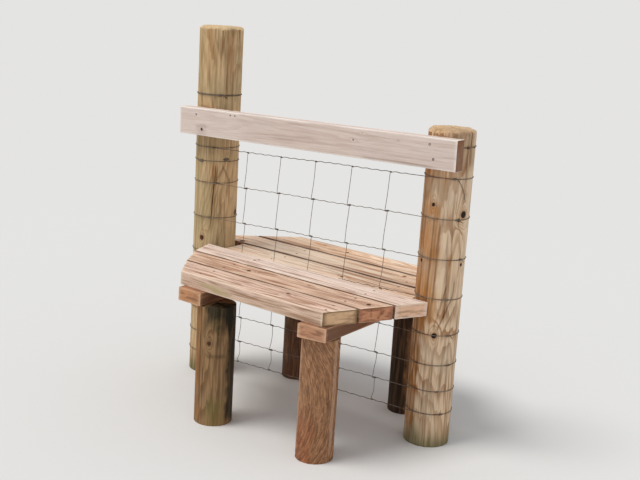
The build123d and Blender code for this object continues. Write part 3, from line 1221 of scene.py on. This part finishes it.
BOARDS = (
    step_board(
        "near_front_board", 41, pith=(-0.02, -0.075),
        knots=((0.63, 0.02, 0.024, 0.006),), splits=((True, 0.62, 0.05, 0.0016, 0.004),),
        grimy=(True,),
        marks=(
            (0.8, -0.057, -0.02, 0.2, 0.012, 0.5), (0.37, -0.057, 0.012, 0.035, 0.005, 0.5),
            (0.7, 0.0, 0.024, 0.14, 0.012, 0.8), (0.45, 0.025, 0.024, 0.12, 0.01, 0.6),
        ),
        washes=(
            (0.375, -0.057, -0.002, 0.06, 0.012, 0.55), (0.425, -0.057, -0.014, 0.05, 0.006, 0.7),
            (0.6, -0.057, -0.002, 0.6, 0.026, 0.15),
        ),
    ),
    step_board(
        "near_middle_board", 47, pith=(0.03, -0.06),
        knots=((0.375, 0.007, 0.024, 0.0075), (0.878, 0.003, 0.024, 0.0075), (0.62, 0.03, 0.024, 0.004)),
        splits=((False, 0.4, 0.06, 0.0018, 0.004), (True, 0.35, 0.08, 0.002, 0.004)),
        grimy=(False, True),
        marks=(
            (0.285, -0.028, 0.024, 0.1, 0.026, 0.9), (0.42, 0.03, 0.024, 0.09, 0.02, 0.6),
            (0.545, -0.025, 0.024, 0.1, 0.014, 0.6), (0.74, -0.012, 0.024, 0.1, 0.02, 0.9),
            (0.88, 0.01, 0.024, 0.06, 0.012, 0.6), (0.6, 0.01, 0.024, 0.1, 0.01, 0.7),
        ),
        washes=(
            (0.928, 0.016, 0.006, 0.03, 0.011, 0.75), (0.922, 0.006, -0.012, 0.02, 0.007, 0.6),
            (0.94, 0.044, -0.002, 0.02, 0.009, 0.5), (0.908, -0.036, -0.006, 0.03, 0.008, 0.4),
        ),
    ),
    step_board(
        "near_back_board", 53, pith=(-0.04, 0.085),
        knots=((0.3, 0.01, 0.024, 0.005),), splits=((False, 0.6, 0.05, 0.0016, 0.004),),
        grimy=(False,), marks=((0.755, -0.034, 0.024, 0.025, 0.008, 0.6),),
    ),
    step_board(
        "far_inner_board", 59, pith=(0.02, -0.08), knots=((0.6, -0.02, 0.015, 0.006),),
        grimy=(False, True), grime_reach=0.008,
        marks=((0.7, 0.035, 0.015, 0.3, 0.01, 0.7), (0.75, -0.01, 0.015, 0.3, 0.006, 0.6)),
        washes=((0.32, 0.0, 0.015, 0.26, 0.12, 0.5),),
    ),
    step_board(
        "far_middle_board", 65, pith=(-0.01, 0.07),
        knots=((0.045, -0.045, 0.015, 0.01), (0.75, 0.03, 0.015, 0.006)), grimy=(False, True),
        grime_reach=0.008,
        marks=((0.68, -0.04, 0.015, 0.34, 0.012, 0.8), (0.62, 0.02, 0.015, 0.26, 0.007, 0.6)),
        washes=((0.3, 0.0, 0.015, 0.26, 0.12, 0.5),),
    ),
    step_board(
        "far_outer_board", 71, pith=(0.03, -0.07), knots=((0.42, 0.01, 0.015, 0.006),),
        grimy=(False,), grime_reach=0.008,
        marks=((0.6, 0.0, 0.015, 0.3, 0.01, 0.8), (0.4, -0.045, 0.015, 0.4, 0.01, 0.8)),
    ),
)
BEARERS = tuple(
    Plank(
        node, "bearer_timber", seed, ACROSS, STEP_ALONG, STEP_UP, rows=110, around=72, edge=0.0025,
        pith=(0.02, -0.05), fur=0.0003, knots=((-0.2, 0.045, 0.005, 0.007), (0.12, -0.045, 0.0, 0.008)),
        # The mark is painted shade on the bearer's side under the boards.
        marks=((-0.34, 0.054, 0.0, 0.42, 0.05, 1.2),),
    )
    for node, seed in (("left_bearer", 77), ("right_bearer", 83))
)
RAIL = Plank(
    "rail", "rail_timber", 89, RAIL_ALONG, ACROSS, RAIL_UP, rows=220, edge=0.0025,
    pith=(0.075, 0.012), drift=0.004, waver=0.0025,
    knots=(
        (0.04, -0.0235, -0.026, 0.005), (0.176, -0.0235, 0.038, 0.003), (0.198, -0.0235, 0.038, 0.003),
        (0.711, -0.0235, 0.01, 0.003), (0.747, -0.0235, 0.036, 0.0028),
    ),
    marks=(
        (0.04, -0.0235, -0.028, 0.035, 0.02, 0.5), (0.88, -0.0235, -0.044, 0.18, 0.006, 0.8),
        (0.45, -0.0235, -0.012, 0.12, 0.01, 0.3), (0.885, -0.0235, 0.026, 0.009, 0.004, 1.0),
    ),
    washes=((0.05, -0.0235, 0.0, 0.26, 0.08, 0.2),),
)

BOARD = Wood(
    (250, 220, 201), (186, 146, 120), ring_share=0.9, streak=(138, 94, 68), streak_share=0.78,
    stripe_share=0.55, patch=(226, 194, 172), knot=(92, 56, 38), end_tint=(205, 160, 130),
    end_share=0.5, weather_share=0.1, saw=0.1, tint=(160, 110, 80), stain=(120, 84, 58),
    wash=(192, 174, 132), edge=(250, 228, 204), edge_share=0.75,
)
FAR_BOARD = replace(
    BOARD, early=(255, 232, 208), late=(222, 168, 128), patch=(255, 214, 176), streak=(144, 94, 60),
    end_tint=(190, 150, 110), tint=(138, 88, 52), stain=(92, 58, 38), wash=(255, 236, 214),
)
LEG = Wood(
    (168, 132, 92), (112, 80, 50), streak=(84, 60, 38), streak_share=0.5, patch=(150, 118, 80),
    weather=(128, 112, 88), weather_share=0.25, end_tint=(150, 118, 80), end_squeeze=1.0,
)
WOODS = {
    "left_post": Wood(
        (224, 192, 148), (168, 128, 84), ring_share=0.5, streak=(120, 84, 50), streak_share=0.68,
        stripe_share=0.5, patch=(202, 166, 118), weather=(164, 154, 118), weather_share=0.35,
        foot=0.1,
        tint=(158, 106, 58), wash=(156, 142, 92), stain=(84, 56, 30), end_tint=(228, 198, 156),
        end_share=0.7, end_lines=0.2, end_squeeze=1.0, rim_share=0.0,
    ),
    "right_post": Wood(
        (240, 210, 176), (168, 118, 76), ring_width=0.0038, ring_share=0.66, streak=(132, 92, 56),
        streak_share=0.68, stripe_share=0.5, patch=(226, 192, 152), weather=(196, 178, 154),
        weather_share=0.35, foot=0.1,
        tint=(176, 108, 20), wash=(240, 216, 186), stain=(84, 50, 26), knot=(40, 26, 20),
        end_tint=(214, 178, 130), end_squeeze=1.0, rim_share=0.0,
    ),
    "rail": Wood(
        (233, 215, 205), (202, 176, 162), ring_share=0.4, streak=(166, 140, 126), streak_share=0.3,
        stripe_share=0.2, patch=(214, 194, 186), knot=(96, 72, 58), end_tint=(132, 79, 30),
        end_share=0.98, end_squeeze=5.0, weather_share=0.15, weather=(194, 184, 176), saw=0.08,
        tint=(132, 104, 88), edge=(252, 244, 236), edge_share=0.9, wash=(250, 236, 224),
    ),
    "near_front_board": replace(
        BOARD, end_tint=(228, 186, 142), end_share=0.85, end_lines=0.5, rim_share=0.85,
        rim=(112, 84, 48),
    ),
    "near_middle_board": replace(
        BOARD, early=(244, 212, 188), late=(186, 140, 110), streak=(134, 86, 60), streak_share=0.8,
        end_tint=(208, 140, 100), end_share=0.85, end_lines=0.7, rim=(112, 60, 44), rim_share=0.45,
        wash=(108, 58, 38),
    ),
    "near_back_board": replace(
        BOARD, early=(255, 238, 226), late=(212, 178, 158), patch=(244, 216, 200),
        end_tint=(246, 196, 158), end_share=0.8, end_lines=0.55, rim=(250, 236, 224), rim_share=0.5,
    ),
    "far_inner_board": FAR_BOARD,
    "far_middle_board": FAR_BOARD,
    "far_outer_board": FAR_BOARD,
    "left_bearer": Wood(
        (186, 136, 102), (142, 94, 64), streak=(112, 70, 46), streak_share=0.55,
        patch=(168, 118, 86), knot=(84, 50, 34), end_tint=(206, 148, 106), end_share=0.8,
        end_lines=0.6, rim=(238, 196, 160), rim_share=0.5, weather_share=0.1, saw=0.12,
        # The tint is the colour of the painted shade under the boards.
        tint=(98, 60, 40), edge=(214, 168, 134), edge_share=0.5,
    ),
    # Its stain colour serves its dark lines, and the algae with painted shade at its top and right side.
    "near_left_leg": replace(
        LEG, stain=(34, 31, 17), tint=(160, 108, 58), wash=(116, 108, 50), stripe_share=0.45,
    ),
    "near_right_leg": replace(
        LEG, early=(194, 142, 102), late=(130, 88, 55), streak=(98, 64, 42), patch=(168, 120, 82),
        weather=(156, 126, 100), weather_share=0.2, grit=0.65, grit_tint=(84, 52, 36), grit_bend=1.6,
        bump=0.9, tint=(176, 98, 58), wash=(200, 164, 138),
    ),
    "far_left_leg": replace(
        LEG, early=(134, 88, 60), late=(76, 48, 32), streak=(46, 30, 20), patch=(104, 68, 44), grit=0.6,
    ),
    # Its stain colour is the painted shade on its left half.
    "far_right_leg": replace(
        LEG, early=(182, 128, 80), late=(122, 78, 44), streak=(84, 56, 34), grit=0.3,
        stain=(26, 19, 15),
    ),
}
WOODS["right_bearer"] = replace(WOODS["left_bearer"], early=(178, 130, 100), end_tint=(208, 154, 120))

scene.view_settings.view_transform = "Standard"
add_world()
add_sun()
add_stage()
add_camera()
for log in (LEFT_POST, RIGHT_POST, *LEGS):
    make_log(log, wood_material(log.node + "_wood", WOODS[log.node]))
for plank in (*BOARDS, *BEARERS, RAIL):
    make_plank(plank, wood_material(plank.node + "_wood", WOODS[plank.node]))
old_wire = wire_material()
add_net(old_wire)
add_wraps(old_wire)
add_screws(steel_material())
